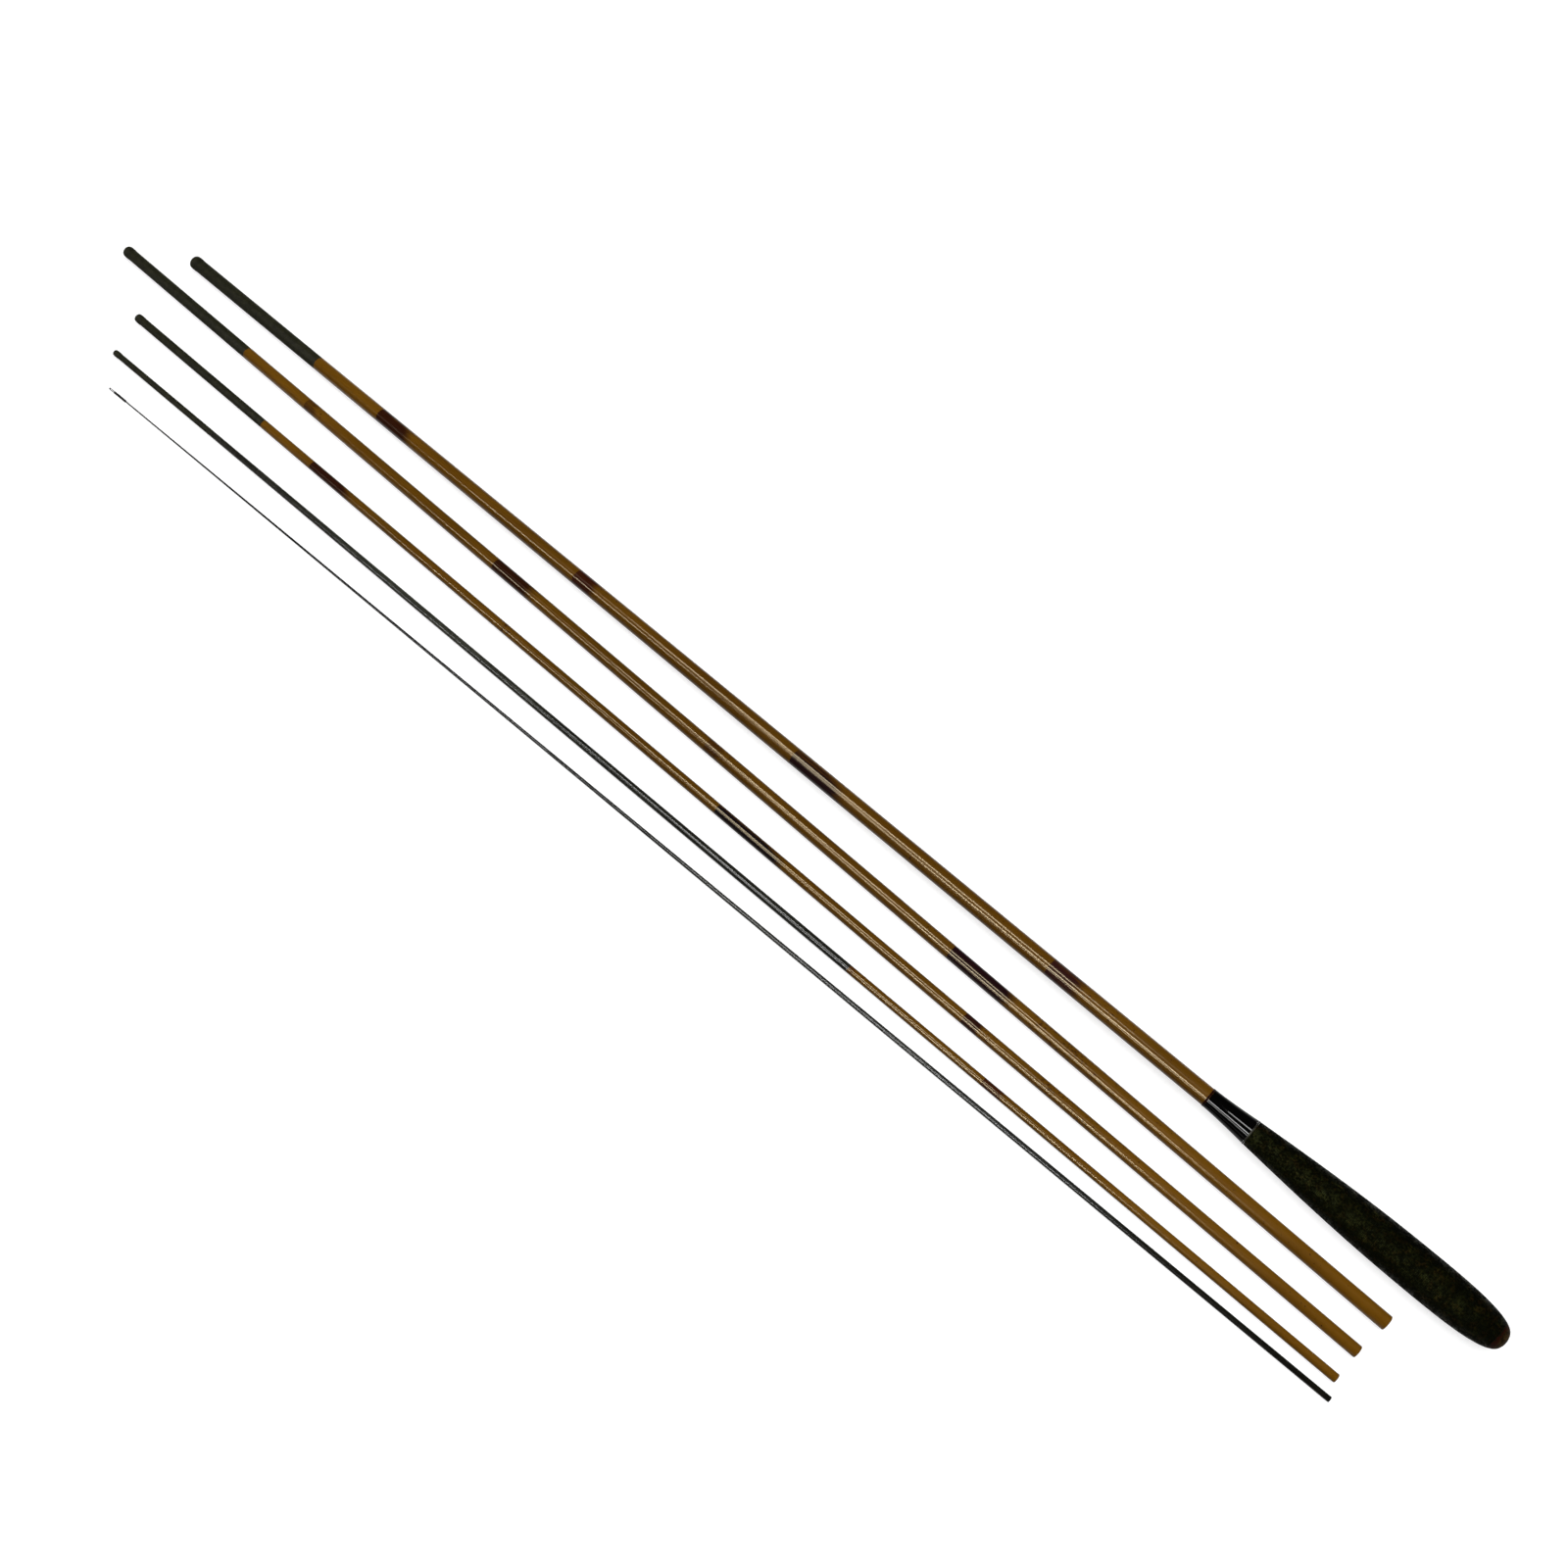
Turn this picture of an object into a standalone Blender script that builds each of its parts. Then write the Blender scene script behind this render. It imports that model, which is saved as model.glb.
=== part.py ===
# Pole for crucian carp in five push-fit sections, taken down and laid side by side on a flat surface.
# Each section plugs into the wound mouth of the thicker one below it. The butt section carries the grip.
# Metres, +Z up. +X runs from butt to tip along the butt section. The origin lies on the surface, under
# the middle of the set.

import math

import bmesh
import bpy
from mathutils import Vector

# Length of each section, butt end to tip end
BUTT_LENGTH = 1.183
SECOND_LENGTH = 1.183
THIRD_LENGTH = 1.115
FOURTH_LENGTH = 1.098
TIP_LENGTH = 1.062

# Diameter of the plain male end of each section that plugs into another
SECOND_MALE_D = 0.0092
THIRD_MALE_D = 0.0076
FOURTH_MALE_D = 0.00545
TIP_MALE_D = 0.0035

# How far each male end goes into the mouth below it
SECOND_FIT = 0.080
THIRD_FIT = 0.070
FOURTH_FIT = 0.060
TIP_FIT = 0.045

# Sockets: radial clearance, room past the male end, and the tapered step that stops it
FIT_CLEARANCE = 0.00008
SOCKET_SPARE = 0.005
STOP_STEP = 0.0004
STOP_TAPER = 0.004

# Each socket is bored in a sleeve, whose spigot is glued into the end of the blank
SPIGOT_LENGTH = 0.012
SPIGOT_STEP = 0.0003

# Blanks: wall at the butt end of each, and of the neck and sleeve that lie under each winding
BUTT_WALL = 0.0009
SECOND_WALL = 0.00085
THIRD_WALL = 0.0008
FOURTH_WALL = 0.0007
TIP_WALL = 0.0006
BUTT_NECK_WALL = 0.00032
SECOND_NECK_WALL = 0.0004
THIRD_NECK_WALL = 0.00028
FOURTH_NECK_WALL = 0.00026

# Blanks: the thickest place, as its distance from the butt end and its rise over the male end
BUTT_BODY_D = 0.0119
BUTT_TAPER_START = 0.550
SECOND_SWELL = 0.00035
SECOND_SWELL_AT = 0.370
THIRD_SWELL = 0.00004
THIRD_SWELL_AT = 0.290
FOURTH_SWELL = 0.00003
FOURTH_SWELL_AT = 0.190

# Mouth windings, the bead of thread that thickens each mouth's rim, and the lacquer's edge where a
# winding begins
WINDING_LENGTH = 0.158
FOURTH_WINDING_LENGTH = 0.120
WINDING_THICKNESS = 0.00015
BEAD_LENGTH = 0.006
BEAD_RISE = 0.0002
LACQUER_STEP = 0.00012
LACQUER_EDGE = 0.0006

# Tip section: where the tube hands over to the solid tip, and the solid tip's root and end
TIP_TAPER_START = 0.290
TIP_TAPER_D = 0.0033
SPLICE_AT = 0.600
SPLICE_D = 0.00235
SPLICE_ROOT_D = 0.0012
SPLICE_ROOT_LENGTH = 0.030
TIP_END_D = 0.0010

# Thread whipping at the tip, and the cord loop that it binds
WHIPPING_LENGTH = 0.0135
WHIPPING_PAST_TIP = 0.0080
WHIPPING_THICKNESS = 0.00020
LOOP_CORD_D = 0.0006
LOOP_REACH = 0.0066
LOOP_WIDTH = 0.0018
LOOP_KNOT_D = 0.0012

# Grip: outer shape, layers and end cap
GRIP_LENGTH = 0.165
GRIP_MAX_D = 0.0263
GRIP_MAX_AT = 0.060
GRIP_BACK_FULLNESS = 3.3
CORE_FRONT_THICKNESS = 0.0011
COVER_THICKNESS = 0.0010
CAP_LENGTH = 0.0060
CAP_FLAT_D = 0.0060
CAP_SPIGOT_LENGTH = 0.012

# Ring, flared collar and thread band in front of the grip
RING_WIDTH = 0.0009
RING_RISE = 0.00012
COLLAR_LENGTH = 0.0285
COLLAR_EDGE = 0.00015
COLLAR_CURVE = 1.25
BAND_WIDTH = 0.0012
BAND_THICKNESS = 0.0002

# Gaps between seated pieces: round them, and end to end
SEAT_GAP = 0.00005
END_GAP = 0.0001

# How the set is laid out: distance of each butt end ahead of the cap's end, step sideways from the
# section before it, and turn from the section before it in degrees
SECOND_START = 0.0495
THIRD_START = 0.0525
FOURTH_START = 0.0530
TIP_START = 0.0495
SECOND_STEP = 0.0323
THIRD_STEP = 0.0232
FOURTH_STEP = 0.0190
TIP_STEP = 0.0111
SECOND_TURN = -0.12
THIRD_TURN = 0.66
FOURTH_TURN = 0.74
TIP_TURN = 0.69

# Facets round the stout pieces, round the slim ones and round the loop's cord
STOUT_SIDES = 32
SLIM_SIDES = 20
CORD_SIDES = 8
EDGE = 0.00015
SHARP_ANGLE = math.radians(30)

# Materials: colour, roughness, metallic
FINISHES = {
    "amber_lacquer": ((0.12, 0.05, 0.004), 0.1, 0.0),
    "dark_lacquer": ((0.010, 0.010, 0.007), 0.2, 0.0),
    "mouth_thread": ((0.014, 0.014, 0.007), 0.55, 0.0),
    "carbon_tube": ((0.012, 0.012, 0.012), 0.4, 0.0),
    "gloss_black": ((0.003, 0.003, 0.003), 0.08, 0.0),
    "red_thread": ((0.035, 0.006, 0.004), 0.3, 0.0),
    "pale_ring": ((0.20, 0.20, 0.15), 0.35, 0.6),
    "grip_cloth": ((0.006, 0.007, 0.003), 0.8, 0.0),
    "grip_foam": ((0.35, 0.30, 0.22), 0.9, 0.0),
    "cap_lacquer": ((0.030, 0.008, 0.004), 0.35, 0.0),
    "dark_cord": ((0.03, 0.03, 0.03), 0.8, 0.0),
}


def clear_scene():
    for obj in list(bpy.data.objects):
        bpy.data.objects.remove(obj, do_unlink=True)


def finish(name):
    """The material of that name, made the first time it is asked for."""
    if name in bpy.data.materials:
        return bpy.data.materials[name]
    colour, roughness, metallic = FINISHES[name]
    material = bpy.data.materials.new(name)
    material.use_nodes = True
    shader = material.node_tree.nodes["Principled BSDF"]
    shader.inputs["Base Color"].default_value = (*colour, 1.0)
    shader.inputs["Roughness"].default_value = roughness
    shader.inputs["Metallic"].default_value = metallic
    return material


def add_empty(name, parent=None):
    empty = bpy.data.objects.new(name, None)
    empty.parent = parent
    bpy.context.collection.objects.link(empty)
    return empty


def add_piece(name, bm, section, finish_name):
    """One closed piece of a section, from a filled bmesh in the section's own axes."""
    bmesh.ops.recalc_face_normals(bm, faces=bm.faces[:])
    mesh = bpy.data.meshes.new(name)
    bm.to_mesh(mesh)
    bm.free()
    mesh.shade_smooth()
    mesh.set_sharp_from_angle(angle=SHARP_ANGLE)
    mesh.materials.append(finish(finish_name))
    piece = bpy.data.objects.new(name, mesh)
    piece.parent = section
    bpy.context.collection.objects.link(piece)
    return piece


def add_turned(name, outline, sides, section, finish_name):
    """A piece turned about the section's X axis. The outline is (x, radius) round its half section:
    a closed ring of points for a tube, or one from axis to axis for a solid piece."""
    bm = bmesh.new()
    points = [bm.verts.new((x, 0.0, -radius)) for x, radius in outline]
    pairs = list(zip(points, points[1:]))
    if outline[0][1] > 0.0:
        pairs.append((points[-1], points[0]))
    edges = [bm.edges.new(pair) for pair in pairs]
    bmesh.ops.spin(
        bm,
        geom=points + edges,
        cent=(0.0, 0.0, 0.0),
        axis=(1.0, 0.0, 0.0),
        angle=math.tau,
        steps=sides,
        use_merge=True,
    )
    bmesh.ops.remove_doubles(bm, verts=bm.verts[:], dist=1e-7)
    flat_middles = [vertex for vertex in bm.verts if vertex.co.y == 0.0 and vertex.co.z == 0.0]
    bmesh.ops.dissolve_verts(bm, verts=flat_middles)
    return add_piece(name, bm, section, finish_name)


def tube_outline(outer, inner):
    """Outline of a tube from its outer and inner profiles, both given from butt to tip."""
    return outer + inner[::-1]


def add_cord(name, path, radii, sides, section, finish_name):
    """A cord swept along a flat path in the section's XY plane, capped at both ends."""
    bm = bmesh.new()
    rings = []
    for index, point in enumerate(path):
        before = path[max(index - 1, 0)]
        after = path[min(index + 1, len(path) - 1)]
        along = (after - before).normalized()
        across = Vector((-along.y, along.x, 0.0))
        ring = []
        for side in range(sides):
            angle = math.tau * side / sides
            offset = across * math.cos(angle) + Vector((0.0, 0.0, math.sin(angle)))
            ring.append(bm.verts.new(point + offset * radii[index]))
        rings.append(ring)
    for ring, following in zip(rings, rings[1:]):
        for side in range(sides):
            other = (side + 1) % sides
            bm.faces.new((ring[side], ring[other], following[other], following[side]))
    bm.faces.new(rings[0])
    bm.faces.new(rings[-1])
    return add_piece(name, bm, section, finish_name)


def place(section, outer, start, sideways, turn):
    """Lay a section on the surface: it rests on the two places of its outer profile that carry it."""
    middle = 0.5 * (outer[0][0] + outer[-1][0])
    tilt = 0.0
    height = -math.inf
    for near in outer:
        for far in outer:
            if not near[0] < middle < far[0]:
                continue
            slope = math.atan2(near[1] - far[1], far[0] - near[0])
            rise = near[0] * math.sin(slope) + near[1] * math.cos(slope)
            lowest = max(x * math.sin(slope) + radius * math.cos(slope) for x, radius in outer)
            if lowest <= rise + 1e-9:
                tilt = slope
                height = lowest
    section.location = (start, sideways, height)
    section.rotation_euler = (0.0, tilt, turn)


def mouth_radius(male_d, neck_wall):
    """Outer radius of the winding round the mouth that takes a male end of that diameter."""
    return male_d / 2 + FIT_CLEARANCE + neck_wall + SEAT_GAP + WINDING_THICKNESS


def sleeve_start(length, fit):
    """How far from its butt end a blank stops and the sleeve with its socket goes on."""
    return length - fit - SOCKET_SPARE - STOP_TAPER


def blank_front(length, socket, winding_length):
    """The front of a blank, where it narrows under the winding and takes the sleeve's spigot: its
    outer profile from the lacquer's edge on, and its bore, both from butt to tip."""
    male_d, fit, neck_wall = socket
    neck_radius = male_d / 2 + FIT_CLEARANCE + neck_wall
    lacquer_radius = mouth_radius(male_d, neck_wall) + LACQUER_STEP
    seat_radius = neck_radius - SPIGOT_STEP + SEAT_GAP
    shoulder = length - winding_length
    end = sleeve_start(length, fit)
    outer = [
        (shoulder - LACQUER_EDGE, lacquer_radius),
        (shoulder, lacquer_radius - LACQUER_STEP),
        (shoulder, neck_radius),
        (end, neck_radius),
    ]
    bore = [(end - SPIGOT_LENGTH - END_GAP, seat_radius), (end, seat_radius)]
    return outer, bore


def add_sleeve(name, length, socket, sides, section):
    """The end of a section, bored to take the male end of the next: a spigot seated in the blank,
    a step that stops the male end, and the socket."""
    male_d, fit, neck_wall = socket
    socket_radius = male_d / 2 + FIT_CLEARANCE
    neck_radius = socket_radius + neck_wall
    spigot_radius = neck_radius - SPIGOT_STEP
    stop_radius = socket_radius - STOP_STEP
    start = sleeve_start(length, fit)
    outer = [
        (start - SPIGOT_LENGTH, spigot_radius),
        (start + END_GAP, spigot_radius),
        (start + END_GAP, neck_radius),
        (length, neck_radius),
    ]
    inner = [
        (start - SPIGOT_LENGTH, stop_radius),
        (start, stop_radius),
        (start + STOP_TAPER, socket_radius),
        (length, socket_radius),
    ]
    add_turned(name, tube_outline(outer, inner), sides, section, "carbon_tube")


def add_winding_and_bead(name, length, socket, winding_length, sides, section):
    """Thread wound over neck and sleeve, and the bead that thickens the rim of the mouth.
    Returns their outer profile."""
    male_d, _, neck_wall = socket
    radius = mouth_radius(male_d, neck_wall)
    seat_radius = radius - WINDING_THICKNESS
    start = length - winding_length + END_GAP
    end = length - BEAD_LENGTH - END_GAP
    winding = [(start, radius - EDGE / 2), (start + EDGE, radius), (end, radius)]
    seat = [(start, seat_radius), (end, seat_radius)]
    add_turned(name + "_mouth_winding", tube_outline(winding, seat), sides, section, "mouth_thread")

    bead = []
    for share in spaced(-1.0, 1.0, 7):
        x = length - BEAD_LENGTH * (1.0 - share) / 2
        bead.append((x, radius + BEAD_RISE * (1.0 - share**4)))
    bead_seat = [(length - BEAD_LENGTH, seat_radius), (length, seat_radius)]
    add_turned(name + "_mouth_bead", tube_outline(bead, bead_seat), sides, section, "mouth_thread")
    return winding + bead


def add_mouth(name, length, socket, winding_length, sides, section):
    """Everything at a section's mouth but the blank itself. Returns its outer profile."""
    add_sleeve(name + "_mouth_sleeve", length, socket, sides, section)
    return add_winding_and_bead(name, length, socket, winding_length, sides, section)


def add_middle_section(name, length, male, body, socket, winding_length, sides, finish_name):
    """A hollow section with a male end below and a wound mouth above.
    The male end is its diameter and fit, the body its wall, swell and the swell's place, and the
    socket the male diameter and fit of what plugs into it and the wall of the neck round it."""
    section = add_empty(name + "_section", layout)
    male_d, fit = male
    wall, swell, swell_at = body
    front, bore = blank_front(length, socket, winding_length)
    male_radius = male_d / 2
    outer = [
        (0.0, male_radius - EDGE),
        (EDGE, male_radius),
        (fit, male_radius),
        (swell_at, male_radius + swell),
    ] + front
    inner = [(0.0, male_radius - wall), (fit, male_radius - wall)] + bore
    add_turned(name + "_blank", tube_outline(outer, inner), sides, section, finish_name)
    mouth = add_mouth(name, length, socket, winding_length, sides, section)
    return section, outer + mouth


def grip_back_radius(x):
    """Full round back of the grip: a blunt superellipse from the cap's end to the thickest place."""
    share = (GRIP_MAX_AT - x) / GRIP_MAX_AT
    power = GRIP_BACK_FULLNESS
    return GRIP_MAX_D / 2 * (1.0 - share**power) ** (1.0 / power)


def grip_front_radius(x, front_radius):
    """Long front of the grip: falls from the thickest place in a quarter cosine to the ring."""
    share = (x - GRIP_MAX_AT) / (GRIP_LENGTH - GRIP_MAX_AT)
    return GRIP_MAX_D / 2 - (GRIP_MAX_D / 2 - front_radius) * (1.0 - math.cos(share * math.pi / 2))


def spaced(first, last, count):
    """Evenly spaced values from first to last, both included."""
    return [first + (last - first) * index / (count - 1) for index in range(count)]


def add_butt_section():
    """The thick section with the grip, its cap, the collar and the first mouth."""
    section = add_empty("butt_section", layout)
    body_radius = BUTT_BODY_D / 2
    blank_start = CAP_LENGTH + END_GAP
    socket = (SECOND_MALE_D, SECOND_FIT, BUTT_NECK_WALL)
    front, bore = blank_front(BUTT_LENGTH, socket, WINDING_LENGTH)
    bore_radius = body_radius - BUTT_WALL
    outer = [(blank_start, body_radius), (BUTT_TAPER_START, body_radius)] + front
    inner = [(blank_start, bore_radius), (GRIP_LENGTH, bore_radius)] + bore
    add_turned("butt_blank", tube_outline(outer, inner), STOUT_SIDES, section, "amber_lacquer")
    mouth = add_mouth("butt", BUTT_LENGTH, socket, WINDING_LENGTH, STOUT_SIDES, section)

    # Cap: the round end of the grip, with a spigot that plugs the blank's bore
    cap_edge = grip_back_radius(CAP_LENGTH)
    cap = [(0.0, 0.0), (0.0, CAP_FLAT_D / 2)]
    flat_share = (CAP_FLAT_D / GRIP_MAX_D) ** GRIP_BACK_FULLNESS
    flat_x = GRIP_MAX_AT * (1.0 - (1.0 - flat_share) ** (1.0 / GRIP_BACK_FULLNESS))
    steps = 7
    for step in range(1, steps):
        share = (step / steps) ** 2
        x = flat_x + (CAP_LENGTH - flat_x) * share
        cap.append((x, grip_back_radius(x)))
    spigot_radius = bore_radius - SEAT_GAP
    spigot_end = CAP_LENGTH + CAP_SPIGOT_LENGTH
    cap += [
        (CAP_LENGTH, cap_edge),
        (CAP_LENGTH, spigot_radius),
        (spigot_end - EDGE, spigot_radius),
        (spigot_end, spigot_radius - EDGE),
        (spigot_end, 0.0),
    ]
    add_turned("butt_cap", cap, STOUT_SIDES, section, "cap_lacquer")

    # Cover: the textured skin of the grip, and the core that gives the grip its shape under it
    front_radius = body_radius + SEAT_GAP + CORE_FRONT_THICKNESS + SEAT_GAP + COVER_THICKNESS
    back = [(x, grip_back_radius(x)) for x in spaced(CAP_LENGTH + END_GAP, GRIP_MAX_AT, 8)]
    front = [(x, grip_front_radius(x, front_radius)) for x in spaced(GRIP_MAX_AT, GRIP_LENGTH, 9)]
    grip = back + front[1:]
    cover_inner = [(x, radius - COVER_THICKNESS) for x, radius in grip]
    add_turned("grip_cover", tube_outline(grip, cover_inner), STOUT_SIDES, section, "grip_cloth")
    core_outer = [(x, radius - SEAT_GAP) for x, radius in cover_inner]
    core_inner_radius = body_radius + SEAT_GAP
    core_inner = [(grip[0][0], core_inner_radius), (grip[-1][0], core_inner_radius)]
    add_turned("grip_core", tube_outline(core_outer, core_inner), STOUT_SIDES, section, "grip_foam")

    # Ring: a thin hoop that covers the front edge of the grip's skin
    ring_start = GRIP_LENGTH + END_GAP
    ring_end = ring_start + RING_WIDTH
    ring_radius = front_radius + RING_RISE
    ring = [
        (ring_start, ring_radius - RING_RISE / 2),
        (ring_start + RING_WIDTH / 4, ring_radius),
        (ring_end - RING_WIDTH / 4, ring_radius),
        (ring_end, ring_radius - RING_RISE / 2),
    ]
    ring_bore = [(ring_start, core_inner_radius), (ring_end, core_inner_radius)]
    add_turned("grip_ring", tube_outline(ring, ring_bore), STOUT_SIDES, section, "pale_ring")

    # Collar: lacquered winding that flares from the blank up to the ring
    collar_start = ring_end + END_GAP
    collar_end = collar_start + COLLAR_LENGTH
    thin_radius = core_inner_radius + COLLAR_EDGE
    collar = []
    for x in spaced(collar_start, collar_end, 8):
        share = (collar_end - x) / COLLAR_LENGTH
        collar.append((x, thin_radius + (front_radius - thin_radius) * share**COLLAR_CURVE))
    collar_bore = [(collar_start, core_inner_radius), (collar_end, core_inner_radius)]
    add_turned("grip_collar", tube_outline(collar, collar_bore), STOUT_SIDES, section, "gloss_black")

    # Band: a few turns of thread that close the collar's thin edge
    band_start = collar_end + END_GAP
    band_end = band_start + BAND_WIDTH
    band_radius = core_inner_radius + BAND_THICKNESS
    band = [(band_start, band_radius), (band_end - EDGE, band_radius), (band_end, band_radius - EDGE / 2)]
    band_bore = [(band_start, core_inner_radius), (band_end, core_inner_radius)]
    add_turned("collar_band", tube_outline(band, band_bore), STOUT_SIDES, section, "red_thread")
    return section, cap[1:steps + 2] + grip + ring + collar + band + outer[1:] + mouth


def add_tip_section():
    """The slim last section: a tube, a solid tip spliced into it, and the whipped cord loop."""
    section = add_empty("tip_section", layout)
    male_radius = TIP_MALE_D / 2
    root_radius = SPLICE_ROOT_D / 2
    root_start = SPLICE_AT - SPLICE_ROOT_LENGTH
    outer = [
        (0.0, male_radius - EDGE),
        (EDGE, male_radius),
        (TIP_FIT, male_radius),
        (TIP_TAPER_START, TIP_TAPER_D / 2),
        (SPLICE_AT, SPLICE_D / 2),
    ]
    inner = [
        (0.0, male_radius - TIP_WALL),
        (TIP_FIT, male_radius - TIP_WALL),
        (root_start - END_GAP, root_radius + SEAT_GAP),
        (SPLICE_AT, root_radius + SEAT_GAP),
    ]
    add_turned("tip_blank", tube_outline(outer, inner), SLIM_SIDES, section, "dark_lacquer")

    solid_start = SPLICE_AT + END_GAP
    end_radius = TIP_END_D / 2
    solid = [
        (root_start, 0.0),
        (root_start, root_radius),
        (solid_start, root_radius),
        (solid_start, SPLICE_D / 2),
        (TIP_LENGTH, end_radius),
        (TIP_LENGTH, 0.0),
    ]
    add_turned("solid_tip", solid, SLIM_SIDES, section, "dark_lacquer")

    # Whipping: a sleeve of wound thread over the last of the tip and the legs of the loop
    whipping_end = TIP_LENGTH + WHIPPING_PAST_TIP
    whipping_start = whipping_end - WHIPPING_LENGTH
    tip_share = (whipping_start - solid_start) / (TIP_LENGTH - solid_start)
    tip_radius = SPLICE_D / 2 + (end_radius - SPLICE_D / 2) * tip_share
    whipping_bore = max(tip_radius, LOOP_CORD_D + SEAT_GAP) + SEAT_GAP
    whipping_radius = whipping_bore + WHIPPING_THICKNESS
    whipping = [
        (whipping_start, whipping_radius - WHIPPING_THICKNESS / 2),
        (whipping_start + 2 * WHIPPING_THICKNESS, whipping_radius),
        (whipping_end - 2 * WHIPPING_THICKNESS, whipping_radius),
        (whipping_end, whipping_radius - WHIPPING_THICKNESS / 2),
    ]
    bore = [(whipping_start, whipping_bore), (whipping_end, whipping_bore)]
    add_turned("tip_whipping", tube_outline(whipping, bore), SLIM_SIDES, section, "mouth_thread")

    # Loop: one cord, both ends held side by side in the whipping, knotted at its far end
    cord_radius = LOOP_CORD_D / 2
    leg_offset = cord_radius + SEAT_GAP
    leg_start = TIP_LENGTH + END_GAP
    far_end = whipping_end + LOOP_REACH - LOOP_KNOT_D / 2
    spread = LOOP_WIDTH / 2 - cord_radius - leg_offset
    reach = far_end - whipping_end
    steps = 24
    path = [Vector((leg_start, leg_offset, 0.0))]
    radii = [cord_radius]
    for step in range(steps + 1):
        turn = math.pi * step / steps
        x = whipping_end + reach * math.sin(turn) ** 0.8
        y = leg_offset * math.cos(turn) + spread * math.sin(2 * turn)
        near_knot = math.exp(-(((turn - math.pi / 2) / 0.22) ** 2))
        path.append(Vector((x, y, 0.0)))
        radii.append(cord_radius + (LOOP_KNOT_D / 2 - cord_radius) * near_knot)
    path.append(Vector((leg_start, -leg_offset, 0.0)))
    radii.append(cord_radius)
    add_cord("line_loop", path, radii, CORD_SIDES, section, "dark_cord")
    solid_profile = [(TIP_LENGTH, end_radius)]
    return section, outer + solid_profile + whipping


def centre_on_origin():
    """Move the layout so that the origin lies under the middle of the set's footprint."""
    bpy.context.view_layer.update()
    corners = [
        piece.matrix_world @ vertex.co
        for piece in bpy.data.objects
        if piece.type == "MESH"
        for vertex in piece.data.vertices
    ]
    for axis in range(2):
        values = [corner[axis] for corner in corners]
        layout.location[axis] = -0.5 * (min(values) + max(values))
    bpy.context.view_layer.update()


clear_scene()
layout = add_empty("layout")

butt_section, butt_outer = add_butt_section()
place(butt_section, butt_outer, 0.0, 0.0, 0.0)

second_section, second_outer = add_middle_section(
    "second",
    SECOND_LENGTH,
    (SECOND_MALE_D, SECOND_FIT),
    (SECOND_WALL, SECOND_SWELL, SECOND_SWELL_AT),
    (THIRD_MALE_D, THIRD_FIT, SECOND_NECK_WALL),
    WINDING_LENGTH,
    STOUT_SIDES,
    "amber_lacquer",
)
second_sideways = SECOND_STEP
second_turn = SECOND_TURN
place(second_section, second_outer, SECOND_START, second_sideways, math.radians(second_turn))

third_section, third_outer = add_middle_section(
    "third",
    THIRD_LENGTH,
    (THIRD_MALE_D, THIRD_FIT),
    (THIRD_WALL, THIRD_SWELL, THIRD_SWELL_AT),
    (FOURTH_MALE_D, FOURTH_FIT, THIRD_NECK_WALL),
    WINDING_LENGTH,
    STOUT_SIDES,
    "amber_lacquer",
)
third_sideways = second_sideways + THIRD_STEP
third_turn = second_turn + THIRD_TURN
place(third_section, third_outer, THIRD_START, third_sideways, math.radians(third_turn))

fourth_section, fourth_outer = add_middle_section(
    "fourth",
    FOURTH_LENGTH,
    (FOURTH_MALE_D, FOURTH_FIT),
    (FOURTH_WALL, FOURTH_SWELL, FOURTH_SWELL_AT),
    (TIP_MALE_D, TIP_FIT, FOURTH_NECK_WALL),
    FOURTH_WINDING_LENGTH,
    SLIM_SIDES,
    "dark_lacquer",
)
fourth_sideways = third_sideways + FOURTH_STEP
fourth_turn = third_turn + FOURTH_TURN
place(fourth_section, fourth_outer, FOURTH_START, fourth_sideways, math.radians(fourth_turn))

tip_section, tip_outer = add_tip_section()
tip_sideways = fourth_sideways + TIP_STEP
tip_turn = fourth_turn + TIP_TURN
place(tip_section, tip_outer, TIP_START, tip_sideways, math.radians(tip_turn))

centre_on_origin()
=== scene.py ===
# A take-down pole for crucian carp, its five sections laid side by side, dressed on its packed
# frame. The sections are made in the order in which the pole is put together, from the butt to
# the tip.

import math

import bpy
from mathutils import Matrix, Vector


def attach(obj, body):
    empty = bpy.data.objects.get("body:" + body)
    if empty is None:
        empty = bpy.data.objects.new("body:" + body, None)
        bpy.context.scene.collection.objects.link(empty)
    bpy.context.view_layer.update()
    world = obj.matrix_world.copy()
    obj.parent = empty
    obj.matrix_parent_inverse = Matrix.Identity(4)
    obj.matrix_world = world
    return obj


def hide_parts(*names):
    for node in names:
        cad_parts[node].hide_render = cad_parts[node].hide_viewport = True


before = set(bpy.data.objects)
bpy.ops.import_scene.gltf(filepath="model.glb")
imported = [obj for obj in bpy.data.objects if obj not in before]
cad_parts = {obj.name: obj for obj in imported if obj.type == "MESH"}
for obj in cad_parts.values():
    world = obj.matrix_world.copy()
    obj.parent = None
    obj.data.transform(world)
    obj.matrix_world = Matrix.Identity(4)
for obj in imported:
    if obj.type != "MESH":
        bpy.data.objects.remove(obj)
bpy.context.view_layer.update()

# Camera: held over the slim sections and turned so that the pole runs from the lower right corner
# to the upper left one.
bpy.ops.object.camera_add(
    location=(-0.4385, 0.3176, 0.893),
    rotation=(math.radians(29), 0, math.radians(-136.15)),
)
camera = bpy.context.object
camera.data.sensor_width = 36
camera.data.lens = 36
bpy.context.scene.camera = camera
bpy.context.scene.view_settings.view_transform = "Standard"


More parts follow.
